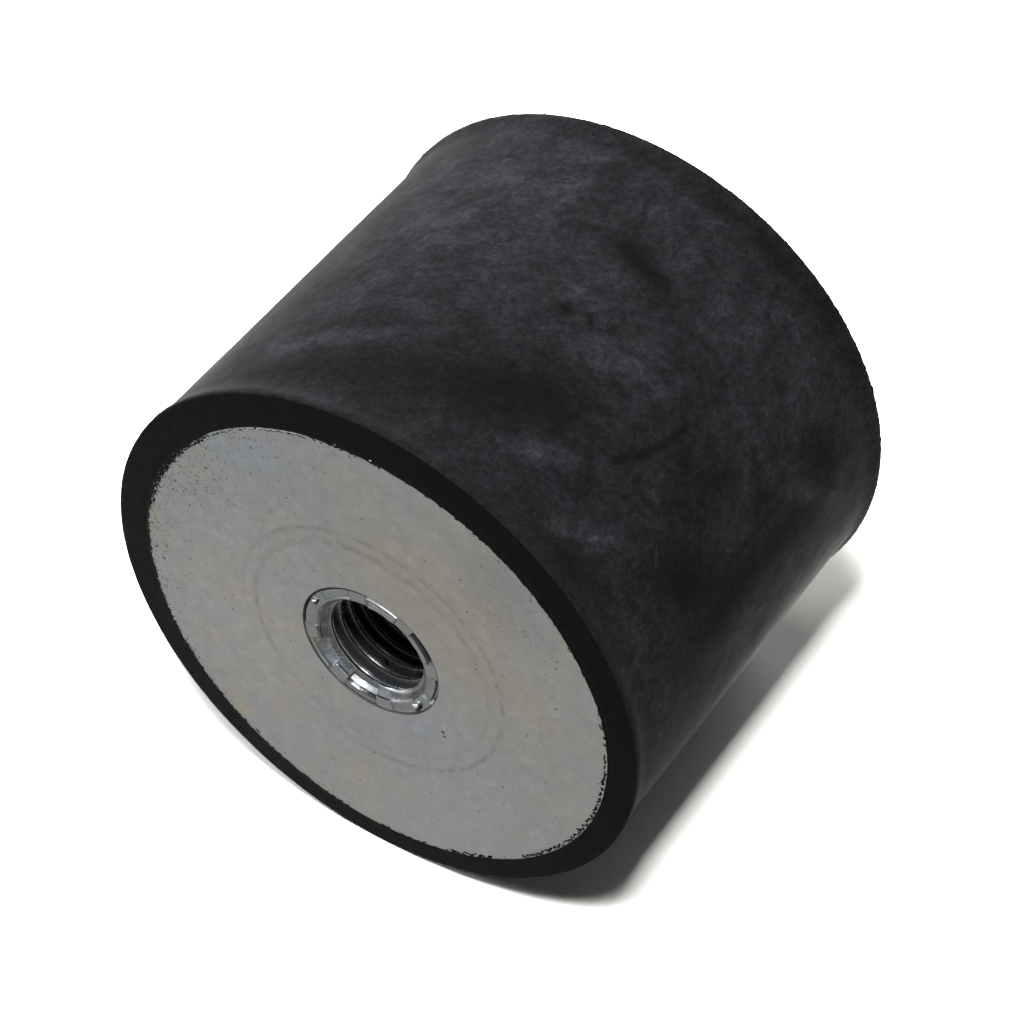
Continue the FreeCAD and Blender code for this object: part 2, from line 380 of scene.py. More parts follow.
def build_wear_group():
    """Broken wear that follows a mask, such as a rubbed edge."""
    (place, edge, size, amount), out = start_group(
        "Edge Wear", "Mask", "Float", Position="Vector", Edge=0.0, Patch_Size=1.0, Amount=0.5)
    broken = place.cloud(size, detail=5.0, roughness=0.7).remap(0.38, 0.62)
    give(out, calc("MINIMUM", edge * broken * amount, 1.0))


def build_shared_groups():
    for build in (build_mottling_group, build_flecks_group, build_passivation_group, build_grain_group,
                  build_wear_group):
        build()


# Materials

def rubber_material(settings):
    """Black moulded rubber with a wax bloom that handling has rubbed off in places, painted light in the
    bloom, painted shade in creases and on the rims, and a painted sheen.
    """
    skin = Surface("moulded_rubber")
    place = skin.place
    leaning = place.turned((0, math.radians(33), 0))
    patches = effect("Mottling", Position=place, Patch_Size=7.0, Contrast=2.9, Level=0.50)
    streaks = effect("Mottling", Position=vector_calc("MULTIPLY", leaning, (0.45, 1.0, 1.0)), Patch_Size=2.2,
                     Contrast=2.8, Level=0.50)
    cloudy = patches * 0.5 + streaks * 0.5
    # The bloom mask is wax bloom and also painted light, raised where the side faces the lamps and the floor
    bloomed_and_lit = skin.mask("bloom")
    tint = mix_colour(place.cloud(2.4, detail=2.0).remap(0.38, 0.62), settings.bloom, settings.warm_bloom)
    colour = mix_colour((bloomed_and_lit * (cloudy * cloudy * 1.9 + 0.22)).clamp(), settings.black, tint)
    colour = colour.toned(place.cloud(0.26, detail=1.0).remap(0.32, 0.68, 0.76, 1.26))
    colour = colour.toned(leaning.cloud(0.9, detail=5.0, roughness=0.65).remap(0.32, 0.68, 0.70, 1.36))
    rubs = larger(flecks(place, 2.6, 7.0, 0.10, 0.30, 20, 35, 15),
                  flecks(place, 3.3, 9.0, 0.07, 0.30, -50, 10, 70))
    dots = flecks(place, 3.4, 1.0, 0.055, 0.22)
    edge = effect("Edge Wear", Position=place, Edge=skin.mask("edge"), Patch_Size=0.7, Amount=0.12)
    for scuffed in (rubs * 0.10, dots * 0.55, edge):
        colour = colour.painted(scuffed, settings.dust)
    # Painted shade: darker in the creases and on one side of the rims' faces
    colour = colour.painted(skin.mask("crease") * 0.75, (0.0025, 0.0025, 0.0025, 1))
    # Painted sheen: lighter where the rubber is seen edge-on, and most where it faces the floor, standing in
    # for reflections of the floor and the sky
    facing = Signal(add_node(skin.tree, "LayerWeight", Blend=0.5).outputs["Facing"])
    sheen_share = (calc("POWER", facing, 5.0) * (cloudy + 0.5)).clamp() * bloomed_and_lit.remap(0.03, 0.25, 0.40, 1.0)
    sheen = mix_colour(skin.mask("dusty"), settings.sheen, settings.dusty)
    give(skin.sockets["Base Color"], colour.painted(sheen_share, sheen))
    give(skin.sockets["Roughness"], cloudy.remap(0.2, 0.8, 0.50, 0.64))
    give(skin.sockets["Specular IOR Level"], 0.05)
    skin.grain(0.30, 0.06, 0.22, 1.3, 0.45)
    return skin.material


def plate_material(settings):
    """Dull passivated zinc, with fine scratches, specks and rubber smears round the edge, painted shade in
    the gap at the hole and painted light across the face.
    """
    skin = Surface("passivated_zinc")
    place = skin.place
    blue, straw, pink = settings.blue_tint, settings.straw_tint, settings.pink_tint
    colour = effect("Passivation", Position=place, Patch_Size=8.0, Base=settings.zinc, Blue=blue, Straw=straw,
                    Pink=pink)
    for name, tint in (("straw", straw), ("violet", pink), ("blue", blue)):
        colour = colour.painted(skin.mask(name), tint)
    grey = place.cloud(1.2, detail=6.0, roughness=0.75).remap(0.30, 0.70, 0.90, 1.10)
    # The pale mask is painted light, lightening one side of the face
    colour = colour.toned(grey * (skin.mask("pale") + 1.0))
    ring = effect("Edge Wear", Position=place, Edge=skin.mask("ring"), Patch_Size=2.2, Amount=0.62)
    colour = colour.painted(ring, (0.20, 0.165, 0.115, 1))
    wobble = place.cloud(1 / 1.1, detail=2.0, roughness=0.5, output="Color")
    bent = vector_calc("ADD", place, wobble.scaled(1.3))
    scuff = skin.mask("scuff")
    busy = scuff * 0.62 + 0.09
    strokes = larger(flecks(bent, 0.30, 2.4, 0.27, busy, 0, 0, -165),
                     flecks(bent, 0.36, 1.5, 0.27, busy, 0, 0, -120))
    colour = colour.painted(strokes * (scuff * 0.9 + 0.40).clamp(), (0.07, 0.07, 0.066, 1))
    specks = flecks(place, 1.2, 1.0, 0.13, 0.40)
    colour = colour.painted(specks * 0.85, (0.025, 0.023, 0.02, 1))
    for angle, distance, size in MARKS:
        centre = (*around(angle, distance), MOUNT_LENGTH / MM)
        off = vector_calc("DISTANCE", place, centre, "Value")
        colour = colour.painted(off.remap(size, size * 0.5) * 0.85, (0.035, 0.025, 0.02, 1))
    # The smear mask also paints the hole's edge dark as painted shade
    smear = skin.mask("smear")
    ragged = smear + (place.cloud(0.35, detail=3.0) - 0.5)
    bits = larger(flecks(bent, 0.32, 2.4, 0.42, smear, 0, 0, -160), ragged.remap(0.98, 1.12))
    dirt_and_shade = larger(larger(bits, specks), strokes * 0.6)
    give(skin.sockets["Base Color"], colour.painted(bits * 0.92, (0.014, 0.014, 0.012, 1)))
    give(skin.sockets["Metallic"], dirt_and_shade.remap(0.0, 1.0, 1.0, 0.0))
    give(skin.sockets["Roughness"], place.cloud(2.2, detail=5.0).remap(0.3, 0.7, 0.40, 0.54))
    skin.grain(0.35, 0.02, 0.16, 1.1, 0.35)
    return skin.material


def insert_material(settings):
    """Bright zinc with tool marks, and oily dirt and painted shade in the thread and the recesses."""
    skin = Surface("bright_zinc")
    place = skin.place
    colour = effect("Passivation", Position=place, Patch_Size=2.6, Base=settings.zinc,
                    Blue=(0.40, 0.47, 0.54, 1), Straw=(0.47, 0.48, 0.44, 1), Pink=(0.45, 0.43, 0.48, 1))
    stain = effect("Mottling", Position=place, Patch_Size=1.5, Contrast=3.0, Level=0.5)
    # The grime mask is oily dirt and painted shade
    grime = (skin.mask("grime") * (stain + 0.55)).clamp()
    specks = flecks(place, 0.7, 1.0, 0.16, 0.22)
    colour = colour.painted(grime, settings.grime).painted(specks * 0.4, settings.grime)
    give(skin.sockets["Base Color"], colour)
    give(skin.sockets["Metallic"], grime.remap(0.0, 1.0, 1.0, 0.75))
    give(skin.sockets["Roughness"], stain.remap(0.0, 1.0, 0.15, 0.32) + skin.mask("dull") * 0.16)
    skin.grain(0.25, 0.02, 0.14, 0.7, 0.7)
    return skin.material


def pale_material(name, colour, camera_gain, glossy_gain):
    """A pale sheet seen from its front only. What the lens, metal and glass see of it is raised to white."""
    material = bpy.data.materials.new(name)
    material.use_nodes = True
    tree = material.node_tree
    tree.nodes.clear()
    camera, glossy, clear = seen_rays(tree)
    gain = camera * (camera_gain - 1.0) + 1.0 + larger(glossy, clear) * (glossy_gain - 1.0)
    front = add_node(tree, "BsdfDiffuse", Color=vector_calc("SCALE", colour[:3], gain))
    behind = add_node(tree, "BsdfTransparent")
    shader = add_node(tree, "MixShader")
    backfacing = add_node(tree, "NewGeometry").outputs["Backfacing"]
    for socket, source in zip(shader.inputs, (backfacing, front.outputs[0], behind.outputs[0])):
        tree.links.new(source, socket)
    tree.links.new(shader.outputs[0], add_node(tree, "OutputMaterial").inputs["Surface"])
    return material


def seen_rays(tree):
    """Whether a ray comes from the camera, from a glossy surface or through a clear one."""
    rays = add_node(tree, "LightPath").outputs
    return [Signal(rays[f"Is {kind} Ray"]) for kind in ("Camera", "Glossy", "Transmission")]


# Mesh helpers

def around(photo_angle, distance):
    """A place on the seen face, from the photograph's angle."""
    turn = math.radians(photo_angle + PHOTO_TURN)
    return distance * math.cos(turn), distance * math.sin(turn)


def circle(columns):
    return np.linspace(0, FULL_CIRCLE, columns, endpoint=False)


def wrap_faces(rows, columns, start=0):
    """Four-sided faces between neighbouring rows that go all the way round."""
    lower = start + np.arange(rows - 1)[:, None] * columns + np.arange(columns)
    beside = np.roll(lower, -1, axis=1)
    return np.stack([lower, beside, beside + columns, lower + columns], axis=-1).reshape(-1, 4).tolist()


def close_ends(points, faces, columns, levels):
    """Fans the first row and the last to points on the axis, at the given levels."""
    for number, start in enumerate((0, len(points) - columns)):
        pole = len(points) + number
        faces += [(pole, start + (column - 1) % columns, start + column) for column in range(columns)]
    return np.concatenate([points, [(0, 0, level) for level in levels]])


def add_part(points, faces, more_points, more_faces):
    """Adds a loose part to a mesh."""
    faces += [tuple(len(points) + corner for corner in face) for face in more_faces]
    return np.concatenate([points, more_points])


def place_rows(radii, heights, angles):
    """Points of rows round the axis."""
    return np.stack([radii * np.cos(angles), radii * np.sin(angles), heights + 0 * radii], axis=-1)


def full_rows(levels, angles):
    """Rows of one value for each angle, from values or rows of them."""
    return np.array([level + 0 * angles for level in levels])


def link_object(name, data):
    made = bpy.data.objects.new(name, data)
    bpy.context.scene.collection.objects.link(made)
    return made


def make_piece(name, points, faces, masks, sharp_angle, nodes, material):
    """A mesh piece that rides on the mount and stands for CAD nodes."""
    mesh = bpy.data.meshes.new(name)
    mesh.from_pydata(np.asarray(points).tolist(), [], faces)
    for label, values in masks.items():
        layer = mesh.attributes.new(label, "FLOAT", "POINT")
        layer.data.foreach_set("value", np.asarray(values, np.float32).ravel())
    edit = bmesh.new()
    edit.from_mesh(mesh)
    bmesh.ops.remove_doubles(edit, verts=edit.verts, dist=0.0005 * MM)
    bmesh.ops.dissolve_degenerate(edit, edges=edit.edges, dist=0.0002 * MM)
    bmesh.ops.recalc_face_normals(edit, faces=edit.faces)
    edit.to_mesh(mesh)
    edit.free()
    mesh.shade_smooth()
    mesh.set_sharp_from_angle(angle=math.radians(sharp_angle))
    mesh.materials.append(material)
    piece = link_object(name, mesh)
    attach(piece, "root")
    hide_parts(*nodes)
    return piece


def lumps(points, size, seed, octaves=3):
    """Smooth random values between about -1 and 1, one for each point, with lumps of the given size."""
    shift = Vector((seed * 7.31, seed * 3.17, seed * 5.73))
    places = (Vector(point) / size + shift for point in points.reshape(-1, 3))
    return np.array([noise.fractal(place, 0.8, 2.0, octaves) for place in places]).reshape(points.shape[:-1])


def smooth_step(low, high, values):
    share = np.clip((values - low) / (high - low), 0, 1)
    return share * share * (3 - 2 * share)


def bell(off, spread):
    """A soft hill, 1 in its middle."""
    return np.exp(-(off / spread) ** 2)


def turn_between(angles, middle):
    """Angles less a middle one, in degrees, from -180 to 180."""
    return (np.degrees(angles) - middle + HALF_TURN) % (2 * HALF_TURN) - HALF_TURN


def angle_bell(angles, middle, spread):
    """A soft hill round the axis, in degrees."""
    return bell(turn_between(angles, middle), spread)


# Rubber

RUBBER_COLUMNS = 600
SIDE_STEP = 0.62 * MM
DEGREE_LENGTH = math.radians(37.0)
LIP_FILM = 0.05 * MM

# Bloom and painted light on the side, as angle, height, half width, half height, tilt and strength; minus is
# rubbed bare. Some raised spots are painted light, lightening the side where it faces the lamps and the floor
BLOOM_AND_LIGHT_SPOTS = [
    (-111, 42.5, 7.5, 5.4, 25, -0.27), (-97, 47, 9.0, 4.6, 22, -0.20), (-80, 50.5, 11, 5.0, 14, -0.17),
    (-64, 53, 9.0, 4.5, 5, -0.16), (-151, 44.5, 5.0, 3.6, 30, -0.26), (-157, 42, 3.2, 5.0, 0, -0.22),
    (-168, 38, 4.0, 11, 0, -0.36), (-168, 22, 4.0, 10, -8, -0.34), (-160, 13.5, 6.2, 3.4, 35, -0.36),
    (-166, 16.5, 3.6, 1.2, 35, 0.30), (-157, 25, 1.2, 3.5, -20, -0.30), (-110, 18.0, 6.0, 2.4, -8, -0.50),
    (-104, 16, 3.0, 3.0, 0, -0.25), (-103.5, 30, 0.9, 0.9, 0, -0.80), (-120, 2.5, 30, 1.8, 0, -0.22),
    (-187, 22, 9.0, 26, 0, 0.75), (-150, 14, 9.0, 12, 0, 0.16), (-146, 32, 4.0, 11, 0, -0.20),
    (-137, 34, 3.0, 2.5, 0, -0.18), (-115, 49.5, 6.0, 1.2, 30, 0.55), (-72, 47.5, 7.0, 1.4, 22, 0.65),
    (-60, 50, 4.5, 2.0, -20, 0.50), (-135, 51, 6.0, 1.4, 38, 0.50), (-178, 34, 2.6, 5.5, 0, 0.65),
    (-173, 11, 1.6, 3.4, 25, 0.65), (-164, 9, 6.0, 4.0, 0, -0.06), (-165, 18, 5.0, 0.9, 48, 0.50),
    (-84, 16, 22, 15, 0, 0.30), (-110, 31, 12, 6.0, 0, 0.25), (-87, 11, 2.4, 7.0, 0, 0.30),
    (-66, 28, 12, 18, 0, 0.40), (-125, 14, 8.0, 6.0, 0, 0.22), (-150, 27, 5.0, 1.4, -35, 0.40),
    (-58, 8, 9.0, 12, 0, 0.30), (-75, 58.2, 22, 1.4, 0, 0.16), (-132, 56.5, 8, 3.2, 0, -0.24),
    (-45, 40, 7.0, 16, 0, 0.40),
]
# Painted sheen on the side, near the floor and on the upper edge, standing in for the floor's and the sky's
# reflection, in the same form
SHEEN_SPOTS = [(-197, 16, 7.0, 16, 0, 1.0), (-34, 52, 8.0, 10, 0, 0.15)]

# Creases in the side, as their depth, half width and points of angle and height
CREASES = [
    (0.18, 0.42, [(-128.5, 42), (-131.3, 38.8), (-133.4, 35), (-134.2, 31)]),
    (0.05, 0.40, [(-141, 42.3), (-134, 42)]),
    (0.05, 0.35, [(-96, 35.7), (-90.5, 33.8)]),
    (0.10, 0.35, [(-109.6, 30.2), (-107.6, 28.8)]),
    (0.10, 0.35, [(-112.3, 28.4), (-112.8, 26.9)]),
    (0.05, 0.40, [(-102.8, 12), (-101.3, 9.5), (-101, 7)]),
    (0.05, 0.45, [(-132.2, 10.5), (-131, 8), (-130.4, 6)]),
    (0.05, 0.45, [(-160, 40), (-160.4, 22)]),
    (0.04, 0.45, [(-127, 47), (-123, 43)]),
    (0.04, 0.40, [(-86, 41), (-79, 43.5), (-72, 44.5)]),
    (0.04, 0.40, [(-84, 36), (-77, 38), (-70, 38.5)]),
]
# Marks on the side that isn't seen: how many, and between which angles
HIDDEN_CREASES = 7
HIDDEN_SPOTS = 26
HIDDEN_RANGE = (-30, 155)
# Bloom between the spots, at most, on a rim's corner and elsewhere off the side
BLOOM_BASE, BLOOM_MOST, CORNER_BLOOM, HIDDEN_BLOOM = 0.36, 1.3, 0.12, 0.04
# Bloom and painted shade of a rim's face, each as its mean and its swing round the rim; the swing is painted
# light and shade, lighter on one side of the rim and darker on the other
FACE_BLOOM_AND_LIGHT = (0.06, -0.055)
FACE_SHADE = (0.38, 0.45)
# How ragged the corner of each end's rim is
RIM_RAGGED = {"top": 0.35, "bottom": 1.0}
# Where the bottom rim has most nicks: an angle on the side, and its spread
FAR_RIM_ROUGHEST = (-152, 22)
# Where the top rim is a little short of round: middle angle, spread and depth in millimetres
RIM_SHRINK = (5, 32, 0.50)
# Where a rim's face is darkest with painted shade, by the photograph's angle
RIM_DARK = 35

# Rubber left on a plate's edge, by the photograph's angles: start, stop, count, half length, half width and
# inset, in millimetres
FLASH_ARCS = [
    (2, 18, 5, 0.42, 0.13, 0.40), (26, 60, 12, 0.20, 0.09, 0.42), (60, 102, 20, 0.30, 0.10, 0.44),
    (103, 133, 26, 0.42, 0.06, 0.36), (133, 167, 60, 0.26, 0.15, 0.62), (165, 206, 44, 0.26, 0.12, 0.42),
    (205, 232, 20, 0.26, 0.11, 0.46), (234.6, 235.6, 1, 0.50, 0.26, 1.00), (238, 262, 14, 0.42, 0.12, 0.36),
    (270, 289, 8, 0.42, 0.12, 0.34), (289, 302, 8, 0.70, 0.20, 0.44), (311, 363, 56, 0.40, 0.19, 0.48),
]
# How far the rubber laps over a plate, and how ragged it is, by the photograph's angle, in millimetres
LIP_COVER = [(0, 0.14), (15, 0.16), (27, 0.32), (60, 0.34), (96, 0.34), (104, 0.12), (130, 0.12), (140, 0.30),
             (165, 0.26), (205, 0.24), (230, 0.22), (262, 0.22), (290, 0.22), (312, 0.14), (345, 0.12)]
LIP_ROUGHNESS = [(0, 0.10), (25, 0.22), (95, 0.22), (105, 0.05), (130, 0.06), (138, 0.55), (165, 0.50),
                 (205, 0.34), (240, 0.20), (262, 0.04), (290, 0.08), (315, 0.10), (345, 0.10)]
FLASH_SIDES = 10
FLASH_HEIGHT = 0.07


def spot_levels(angles, heights, spots):
    """Sum of soft spots on the unrolled side, in degrees and millimetres."""
    total = 0
    for middle, level, half_width, half_height, lean, strength in spots:
        across = turn_between(angles, middle) * DEGREE_LENGTH
        up = heights - level
        lean = math.radians(lean)
        along = across * math.cos(lean) + up * math.sin(lean)
        beside = up * math.cos(lean) - across * math.sin(lean)
        total = total + strength * bell(along, half_width) * bell(beside, half_height)
    return total


def crease_levels(angles, heights, creases):
    """Depth of the creases at each place on the side, and how near it is to one."""
    depth, near = 0 * heights, 0 * heights
    for deep, half_width, route in creases:
        distance = depth + math.inf
        for (a0, z0), (a1, z1) in zip(route, route[1:]):
            across = turn_between(angles, a0) * DEGREE_LENGTH
            up = heights - z0
            run = np.array([(a1 - a0) * DEGREE_LENGTH, z1 - z0])
            share = np.clip((across * run[0] + up * run[1]) / (run @ run), 0, 1)
            distance = np.minimum(distance, np.hypot(across - share * run[0], up - share * run[1]))
        valley = bell(distance, half_width)
        depth += deep * (valley - 0.35 * bell(distance - 2 * half_width, half_width))
        near = np.maximum(near, valley * min(1.0, deep / 0.08))
    return depth, near


def hidden_marks():
    """Bloom and creases like those of the seen side, for the side that isn't seen."""
    pick = random.Random(5)
    spots, creases = [], []
    for _ in range(HIDDEN_SPOTS):
        drawn = [pick.uniform(*limits) for limits in (HIDDEN_RANGE, (4, 56), (2, 9), (1.5, 9), (-40, 40))]
        spots.append((*drawn, pick.choice((-0.8, -0.5, 0.3, 0.5))))
    for _ in range(HIDDEN_CREASES):
        angle, height, bend = pick.uniform(*HIDDEN_RANGE), pick.uniform(8, 50), pick.uniform(-4, 4)
        creases.append((pick.uniform(0.03, 0.08), 0.42,
                        [(angle, height), (angle + bend, height - 3), (angle + bend * 1.4, height - 6)]))
    return spots, creases


def flare_points(settings, steps):
    """The hollow sweep from the side out to the rim, as radius and height above its start."""
    depth, tall = settings.waist_depth, settings.flare_height
    sweep_radius = (tall ** 2 + depth ** 2) / (2 * depth)
    middle = settings.rim_radius - depth + sweep_radius
    levels = [tall * step / steps for step in range(1, steps)]
    return [(middle - math.sqrt(sweep_radius ** 2 - up ** 2), up) for up in levels]


def rubber_half(settings, plate, insert, lip):
    """The rubber's section from the axis, over the seats, the lip and the rim, to the middle of the side.
    Each row is its kind, its radius and its height above the middle."""
    face = MIDDLE - settings.rim_setback
    back = MIDDLE - plate.thickness
    flange_back = back - insert.flange_thickness
    insert_end = MIDDLE - (INSERT_BOX[1].z + insert.collar_setback - INSERT_BOX[0].z)
    barrel, flange, bevel = insert.barrel_radius, INSERT_BOX[1].x, insert.barrel_bevel
    rim, corner = settings.rim_radius, settings.rim_corner
    flare_end = face - settings.rim_land
    flare_start = flare_end - settings.flare_height
    count = int(flare_start / SIDE_STEP)
    turns = [math.radians(90 - 90 * step / 4) for step in range(1, 5)]
    parts = {
        "seat": [(barrel - bevel, insert_end), (barrel, insert_end + bevel), (barrel, flange_back),
                 (flange, flange_back), (flange, back), (plate.radius, back),
                 (plate.radius, MIDDLE - 2 * plate.edge_round)],
        "lip": lip,
        "face": [(radius, face) for radius in np.linspace(plate.radius + 0.9 * MM, rim - corner, 7)],
        "corner": [(rim - corner + corner * math.cos(turn), face - corner * (1 - math.sin(turn)))
                   for turn in turns],
        "land": [(rim, flare_end + settings.rim_land * 0.3), (rim, flare_end)],
        "side": [(radius, flare_start + up) for radius, up in reversed(flare_points(settings, 6))]
        + [(rim - settings.waist_depth, flare_start * (1 - step / count)) for step in range(count + 1)],
    }
    return [(kind, *row) for kind, rows in parts.items() for row in rows]


def lip_cover(photo, ring, seed):
    """How far the rubber laps over the plate, in millimetres, with its ragged edge."""
    cover = np.interp(photo, *zip(*LIP_COVER), period=360)
    rough = np.interp(photo, *zip(*LIP_ROUGHNESS), period=360)
    teeth = np.abs(lumps(ring, 0.5 * MM, seed, 2)) + 0.7 * np.abs(lumps(ring, 1.6 * MM, seed + 1, 2))
    return cover + rough * teeth


def lip_rows(plate, settings, angles, seed):
    """The lap over the plate's rolled edge: rows of radius and height above the middle, outwards."""
    ring = place_rows(plate.radius + 0 * angles, 0, angles)
    edge = plate.radius - lip_cover(turn_between(angles, PHOTO_TURN), ring, seed) * MM
    face = MIDDLE - settings.rim_setback + LIP_FILM
    rows = [(plate.radius, MIDDLE - 1.2 * plate.edge_round),
            (edge, MIDDLE - edge_drop(plate, edge) - LIP_FILM)]
    for share in (0.06, 0.4, 1.0):
        radius = edge + (plate.radius - edge) * share
        rows.append((radius, np.maximum(MIDDLE - edge_drop(plate, radius) + LIP_FILM, face)))
    return rows + [(plate.radius + 0.12 * MM, face)]


def edge_drop(plate, radius):
    """How far the plate's rolled edge lies below its face at a radius."""
    over = np.clip(radius - (plate.radius - plate.edge_round), 0, plate.edge_round)
    return plate.edge_round - np.sqrt(plate.edge_round ** 2 - over ** 2)


def rubber_end(settings, plate, insert, angles, seed):
    """Kinds, radii and heights of one half's rows."""
    rows = rubber_half(settings, plate, insert, lip_rows(plate, settings, angles, seed))
    kinds, radii, heights = zip(*rows)
    return list(kinds), full_rows(radii, angles), full_rows(heights, angles)


def rim_teeth(points, angles, seed, is_top):
    """How far the rims' corners are nicked, in millimetres."""
    nicks = lumps(points, 0.9 * MM, seed + 5, 2)
    teeth = np.clip(lumps(points, 0.33 * MM, seed + 6, 2) - 0.15, 0, 1)
    ragged = 0.04 * nicks + 0.30 * teeth - 0.25 * np.clip(lumps(points, 3.0 * MM, seed + 7, 2) - 0.45, 0, 1)
    patchy = 0.40 + 0.9 * angle_bell(angles, *FAR_RIM_ROUGHEST) + 0.7 * lumps(points, 7.0 * MM, seed + 8, 2)
    patchy = RIM_RAGGED["bottom"] * np.clip(patchy, 0.15, 1.5)
    middle, spread, deep = RIM_SHRINK
    shrunk = deep * angle_bell(angles, middle, spread) * is_top
    return ragged * np.where(is_top, RIM_RAGGED["top"], patchy) - shrunk


def roughen_rubber(radii, heights, kinds, angles, seed, settings):
    """Moves the outside rows by the moulding's waves, creases and nicks. Returns the masks for the finish,
    with painted light, painted shade and painted sheen among them.
    """
    spots, creases = hidden_marks()
    points = place_rows(radii, heights, angles)
    up = heights / MM
    bloom = BLOOM_BASE + spot_levels(angles, up, BLOOM_AND_LIGHT_SPOTS + spots)
    depth, near = crease_levels(angles, up, CREASES + creases)
    is_side, is_rim, is_face, is_corner = (
        np.isin(kinds, wanted)[:, None]
        for wanted in (["side", "land"], ["corner", "land"], ["face"], ["corner"]))
    slow = lumps(points, 11 * MM, 3) * settings.relief + lumps(points, 2.4 * MM, 4) * settings.relief * 0.35
    is_top = heights > MIDDLE
    radii += np.where(is_side, slow - depth * MM, 0) + is_rim * rim_teeth(points, angles, seed, is_top) * MM
    heights += np.where(is_face, np.sign(heights - MIDDLE) * slow * 0.7, 0)
    # Painted light and shade on the rims' faces: lighter on one side, darker on the other
    shade = np.cos(angles - math.radians(RIM_DARK + PHOTO_TURN))
    level = np.where(is_side, np.clip(bloom, 0, BLOOM_MOST), HIDDEN_BLOOM)
    level = np.where(is_face, FACE_BLOOM_AND_LIGHT[0] + FACE_BLOOM_AND_LIGHT[1] * shade, level)
    level = np.where(is_corner, CORNER_BLOOM, level)
    # Where the painted sheen shows the floor's and the sky's reflection
    dusty = (is_side | is_rim) * np.clip(spot_levels(angles, up, SHEEN_SPOTS), 0, 1)
    # Painted shade in the creases and on the rims' faces
    painted_dark = is_side * near + is_face * (FACE_SHADE[0] + FACE_SHADE[1] * shade)
    return {"bloom": level, "crease": painted_dark, "edge": is_corner + 0 * radii, "dusty": dusty}


def flash_bits(plate, end):
    """Lens-shaped bits of rubber that lie on the rolled edge of one plate: their points and faces."""
    pick = random.Random(SEEDS[end])
    points, faces = [], []
    for start, stop, count, half_length, half_width, inset in FLASH_ARCS:
        for number in range(count):
            angle = start + (stop - start) * (number + pick.uniform(0.1, 0.9)) / count
            size = pick.uniform(0.55, 1.25)
            middle = plate.radius - (inset * pick.uniform(0.72, 1.35)) * MM
            add_flash_bit(points, faces, plate, math.radians(angle + PHOTO_TURN), middle,
                          half_length * size * MM, half_width * pick.uniform(0.6, 1.3) * MM,
                          pick.uniform(-0.9, 0.9))
    if end == "bottom":
        faces = [face[::-1] for face in faces]
    return set_at_end(np.array(points), end), faces


def add_flash_bit(points, faces, plate, angle, middle, half_length, half_width, lean):
    """One low dome with pointed ends, closed below."""
    first = len(points)
    for share, height in ((1.0, -0.02), (0.62, 0.75)):
        for side in range(FLASH_SIDES):
            turn = FULL_CIRCLE * side / FLASH_SIDES
            bulge = 1 + 0.45 * math.sin(2.3 * side + 40 * angle + lean * 9)
            along = half_length * share * math.cos(turn) * (0.8 + 0.2 * bulge)
            beside = half_width * share * math.sin(turn) * bulge + along * lean * 0.6
            points.append(flash_point(plate, angle, middle, along, beside, height * FLASH_HEIGHT * MM))
    points.append(flash_point(plate, angle, middle, 0, 0, FLASH_HEIGHT * MM))
    points.append(flash_point(plate, angle, middle, 0, 0, -0.03 * MM))
    top, base = len(points) - 2, len(points) - 1
    for side in range(FLASH_SIDES):
        low, low_next = first + side, first + (side + 1) % FLASH_SIDES
        high, high_next = low + FLASH_SIDES, low_next + FLASH_SIDES
        faces += [(low, low_next, high_next, high), (high, high_next, top), (low_next, low, base)]


def flash_point(plate, angle, middle, along, beside, height):
    """A point near the plate's edge, below its face, from its place along the edge and in from it."""
    radius = min(middle - beside, plate.radius - 0.004 * MM)
    turn = angle + along / middle
    return radius * math.cos(turn), radius * math.sin(turn), height - float(edge_drop(plate, radius))


def build_rubber(settings, plate, insert, material):
    angles = circle(RUBBER_COLUMNS)
    kinds, radii, heights = rubber_end(settings, plate, insert, angles, SEEDS["top"])
    low_kinds, low_radii, low_heights = rubber_end(settings, plate, insert, -angles, SEEDS["bottom"])
    kinds += low_kinds[-2::-1]
    radii = np.concatenate([radii, low_radii[-2::-1]])
    heights = np.concatenate([MIDDLE + heights, MIDDLE - low_heights[-2::-1]])
    masks = roughen_rubber(radii, heights, kinds, angles, SEEDS["top"], settings)
    grid = place_rows(radii, heights, angles)
    grid[np.isin(kinds, ["face", "corner", "land", "side"])] += np.array(settings.mould_shift)
    faces = wrap_faces(len(kinds), RUBBER_COLUMNS)
    points = close_ends(grid.reshape(-1, 3), faces, RUBBER_COLUMNS, (heights[0, 0], heights[-1, 0]))
    for end in ENDS:
        points = add_part(points, faces, *flash_bits(plate, end))
    spare = np.zeros(len(points) - radii.size)
    masks = {label: np.append(level, spare) for label, level in masks.items()}
    make_piece("rubber_moulding", points, faces, masks, 40, ["rubber_body"], material)


# Plates

PLATE_COLUMNS = 600
FACE_STEP = 0.8 * MM
RING_STEP = 0.25 * MM
BACK_STEP = 5 * MM
# Inside this radius, in millimetres, the hole's edge is painted dark: painted shade in the gap round the
# collar
HOLE_SHADE = 9.89

# Rubber smears near the plate's edge, by the photograph's angles: middle, spread, strength and reach inwards
SMEARS = [(149, 14, 1.30, 1.5), (180, 18, 1.25, 1.2), (213, 12, 0.80, 0.9), (120, 10, 0.45, 1.0),
          (85, 18, 0.30, 0.5), (50, 18, 0.25, 0.5), (250, 10, 0.30, 0.4), (335, 25, 0.25, 0.4)]
